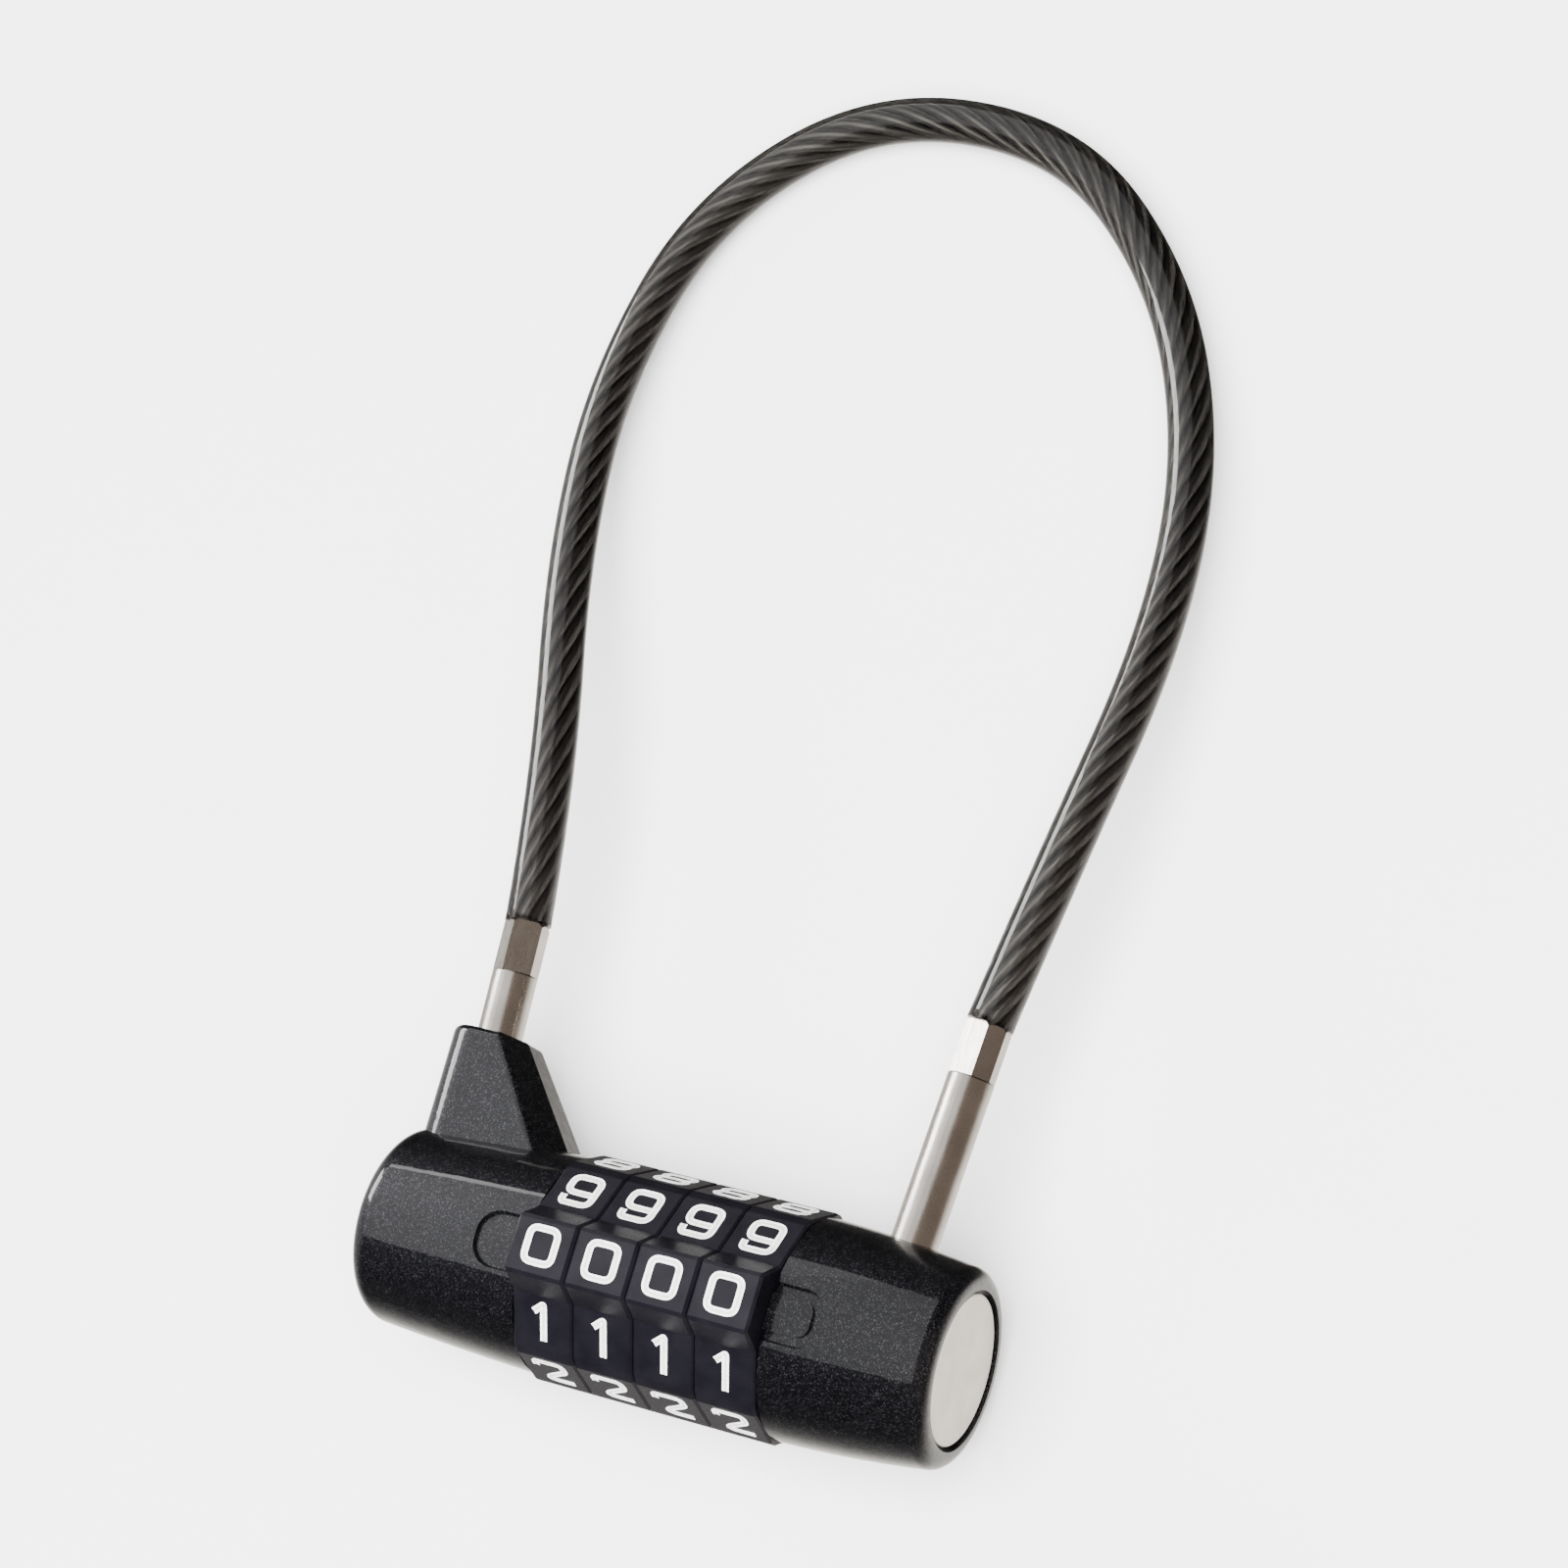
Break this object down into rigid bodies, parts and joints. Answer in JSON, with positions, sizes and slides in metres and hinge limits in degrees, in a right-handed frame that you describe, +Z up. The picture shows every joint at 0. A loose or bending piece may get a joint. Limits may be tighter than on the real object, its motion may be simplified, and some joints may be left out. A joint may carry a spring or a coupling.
{
  "type": "combination cable padlock",
  "caption": "Combination padlock: barrel body with numbered dials, an end push button, and a short loop of jacketed wire rope whose free end pulls out of the body.",
  "frame": {"origin": "centre of the lock body's footprint on the surface it lies on, cable and end pins left out", "axes": "+X along the body to the button end, +Y from the body towards the shackle loop, +Z up out of the index row of the dials, with the lock lying on its back"},
  "size_m": [0.0791, 0.1527, 0.0265],
  "materials": {
    "housing_paint": "black metallic paint under clear lacquer",
    "dial_plastic": "fine matte, inlaid white digits",
    "code_metal": "die cast, as cast",
    "plated_steel": "zinc plated, turned",
    "spring_steel": "tempered",
    "button_metal": "satin, fine grain",
    "nickel_pin": "brushed nickel plate",
    "rope_steel": "stranded, bright drawn",
    "clear_jacket": "smoke tinted clear vinyl, gloss"
  },
  "bodies": {
    "housing": {"left_housing": "housing_paint", "right_housing": "housing_paint", "core_sleeve": "plated_steel", "sleeve_pin_left": "plated_steel", "sleeve_pin_right": "plated_steel", "detent_leaf": "spring_steel", "button_snap_ring": "spring_steel", "return_spring": "spring_steel", "fixed_end_pin": "nickel_pin", "fixed_end_cross_pin": "plated_steel", "wire_rope": "rope_steel", "cable_jacket": "clear_jacket"},
    "bolt": {"spindle": "plated_steel", "locking_plate": "plated_steel", "plate_rivet": "plated_steel", "lock_button": "button_metal"},
    "free_end": {"free_end_pin": "nickel_pin"},
    "dial_1": {"dial_ring_1": "dial_plastic", "code_ring_1": "code_metal"},
    "dial_2": {"dial_ring_2": "dial_plastic", "code_ring_2": "code_metal"},
    "dial_3": {"dial_ring_3": "dial_plastic", "code_ring_3": "code_metal"},
    "dial_4": {"dial_ring_4": "dial_plastic", "code_ring_4": "code_metal"}
  },
  "joints": [
    {"name": "button_push", "type": "slide", "parent": "housing", "child": "bolt", "axis": [1, 0, 0], "range_m": [-0.0024, 0], "stiffness_N_per_m": 300, "deforming": ["return_spring"]},
    {"name": "free_end_pull", "type": "slide", "parent": "housing", "child": "free_end", "axis": [0.0628, 0.998, 0], "range_m": [0, 0.022], "deforming": ["cable_jacket", "wire_rope"]},
    {"name": "dial_1_turn", "type": "hinge", "parent": "housing", "child": "dial_1", "pos_m": [-0.00865, -0.00492, 0.01175], "axis": [1, 0, 0], "continuous": true, "deforming": ["detent_leaf"]},
    {"name": "dial_2_turn", "type": "hinge", "parent": "housing", "child": "dial_2", "pos_m": [-0.00165, -0.00492, 0.01175], "axis": [1, 0, 0], "continuous": true, "deforming": ["detent_leaf"]},
    {"name": "dial_3_turn", "type": "hinge", "parent": "housing", "child": "dial_3", "pos_m": [0.00535, -0.00492, 0.01175], "axis": [1, 0, 0], "continuous": true, "deforming": ["detent_leaf"]},
    {"name": "dial_4_turn", "type": "hinge", "parent": "housing", "child": "dial_4", "pos_m": [0.01235, -0.00492, 0.01175], "axis": [1, 0, 0], "continuous": true, "deforming": ["detent_leaf"]}
  ]
}
